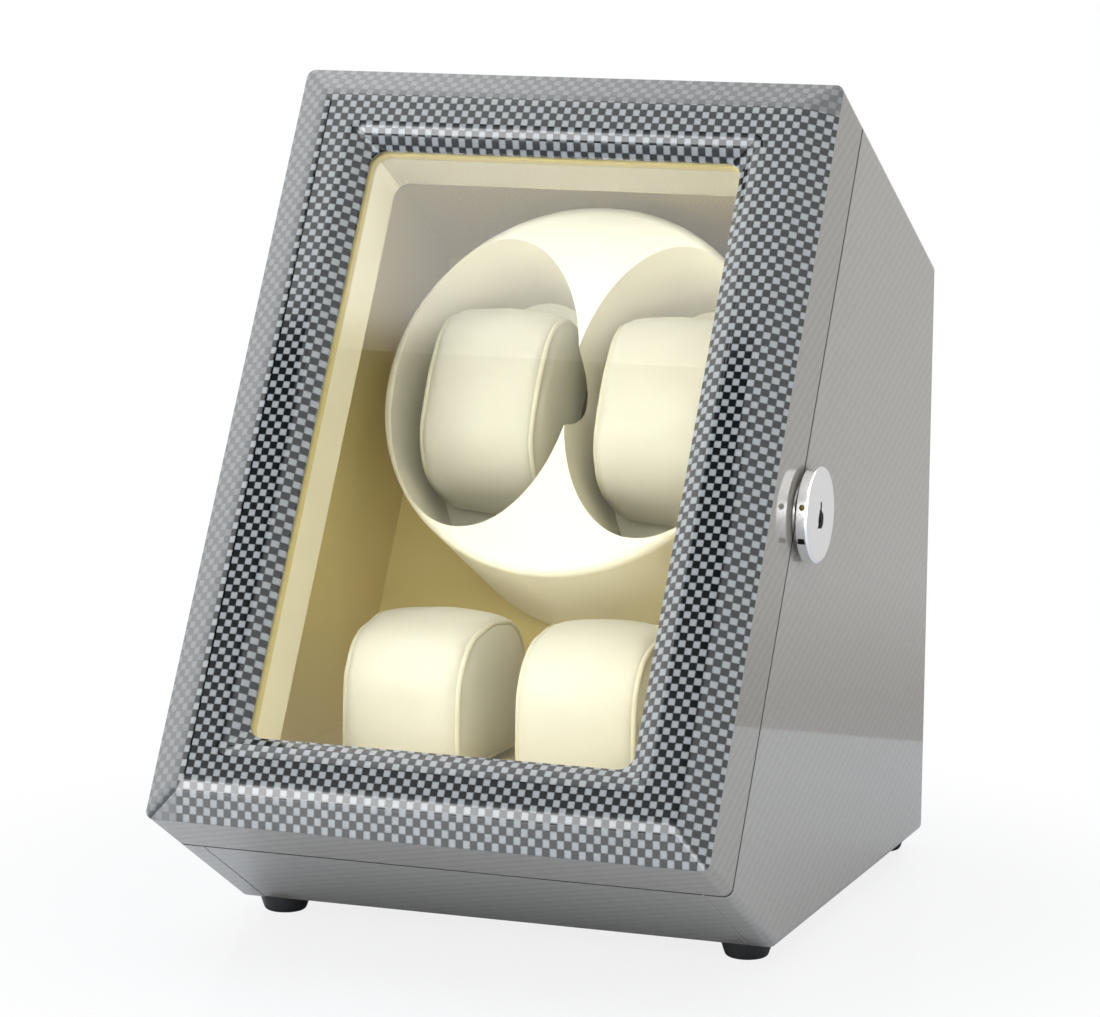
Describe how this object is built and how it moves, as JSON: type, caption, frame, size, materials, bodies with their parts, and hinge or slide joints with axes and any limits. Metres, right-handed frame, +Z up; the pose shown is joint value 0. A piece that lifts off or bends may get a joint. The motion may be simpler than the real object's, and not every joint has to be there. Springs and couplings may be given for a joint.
{
  "type": "watch winder box",
  "caption": "Tilted display box that winds wristwatches on a motor-driven drum behind a hinged glass door, with storage cushions below and a side key lock.",
  "frame": {"origin": "on the table, under the middle of the overall box", "axes": "+X to the right of someone facing the door, -Y to the front, +Z up"},
  "size_m": [0.169, 0.2204, 0.2368],
  "materials": {
    "case_lacquer": "gloss lacquer over a fine carbon-look weave on fibreboard",
    "door_lacquer": "high-gloss lacquer over a small carbon-look check on fibreboard",
    "lining": "cream leatherette on board",
    "lining_trim": "cream leatherette on board",
    "bare_board": "bare fibreboard",
    "glass": "clear float glass",
    "drum_ivory": "ivory moulding",
    "cushion_leather": "soft cream leatherette",
    "rubber": "black rubber",
    "chrome": "polished chrome",
    "steel": "plated steel",
    "brass": "turned brass",
    "black_plastic": "black plastic",
    "board": "circuit board"
  },
  "bodies": {
    "case": {"side_panel_left": "case_lacquer", "side_panel_right": "case_lacquer", "top_panel": "case_lacquer", "back_panel": "case_lacquer", "base_panel": "case_lacquer", "sill_panel": "case_lacquer", "liner_left": "lining", "liner_right": "lining", "liner_top": "lining", "back_liner": "lining", "storage_plinth": "lining", "drive_panel": "bare_board", "foot_front_left": "rubber", "foot_front_right": "rubber", "foot_rear_left": "rubber", "foot_rear_right": "rubber", "rear_cover": "black_plastic", "rear_cover_screws": "steel", "mode_switch": "black_plastic", "dc_jack": "black_plastic", "hinge_lower_case_leaf": "steel", "hinge_upper_case_leaf": "steel", "hinge_lower_pin": "steel", "hinge_upper_pin": "steel", "lock_face": "chrome", "lock_barrel": "chrome", "lock_nut": "chrome", "spindle_bush": "brass", "drive_belt": "rubber", "motor_plate": "steel", "motor_posts": "brass", "gearbox": "steel", "motor_can": "steel", "control_board": "board", "board_posts": "brass"},
    "door": {"door_frame": "door_lacquer", "door_glass": "glass", "glass_retainer": "lining_trim", "strike_plate": "steel", "hinge_lower_door_leaf": "steel", "hinge_upper_door_leaf": "steel"},
    "turntable": {"drum": "drum_ivory", "drum_back": "drum_ivory", "spindle": "steel", "spindle_clip": "steel", "driven_pulley": "black_plastic"},
    "motor_drive": {"motor_pulley": "black_plastic", "motor_shaft": "steel"},
    "lock": {"lock_plug": "steel", "lock_hook": "steel", "lock_hook_screw": "steel"},
    "knob": {"mode_knob": "black_plastic"},
    "winder_cushion_left": {"winder_cushion_left": "cushion_leather"},
    "winder_cushion_right": {"winder_cushion_right": "cushion_leather"},
    "storage_cushion_left": {"storage_cushion_left": "cushion_leather"},
    "storage_cushion_right": {"storage_cushion_right": "cushion_leather"}
  },
  "joints": [
    {"name": "door_swing", "type": "hinge", "parent": "case", "child": "door", "pos_m": [-0.0816, -0.03439, 0.12719], "axis": [0, -0.4939, -0.8695], "range_deg": [0, 105]},
    {"name": "drum_turn", "type": "hinge", "parent": "case", "child": "turntable", "pos_m": [0, 0.0057, 0.14856], "axis": [0, -0.8695, 0.4939], "continuous": true},
    {"name": "motor_turn", "type": "hinge", "parent": "case", "child": "motor_drive", "pos_m": [0, 0.04226, 0.06108], "axis": [0, -0.8695, 0.4939], "continuous": true},
    {"name": "lock_turn", "type": "hinge", "parent": "case", "child": "lock", "pos_m": [0.072, -0.02929, 0.12199], "axis": [1, 0, 0], "range_deg": [0, 90]},
    {"name": "mode_turn", "type": "hinge", "parent": "case", "child": "knob", "pos_m": [0.026, 0.10319, 0.113], "axis": [0, 1, 0], "range_deg": [-120, 120]},
    {"name": "winder_cushion_left_pull", "type": "slide", "parent": "turntable", "child": "winder_cushion_left", "axis": [0, -0.8695, 0.4939], "range_m": [0, 0.024]},
    {"name": "winder_cushion_right_pull", "type": "slide", "parent": "turntable", "child": "winder_cushion_right", "axis": [0, -0.8695, 0.4939], "range_m": [0, 0.024]},
    {"name": "storage_cushion_left_pull", "type": "slide", "parent": "case", "child": "storage_cushion_left", "axis": [0, -0.8695, 0.4939], "range_m": [0, 0.018]},
    {"name": "storage_cushion_right_pull", "type": "slide", "parent": "case", "child": "storage_cushion_right", "axis": [0, -0.8695, 0.4939], "range_m": [0, 0.018]}
  ],
  "couplings": [
    {"joint": "motor_turn", "follows": "drum_turn", "ratio": 5}
  ]
}
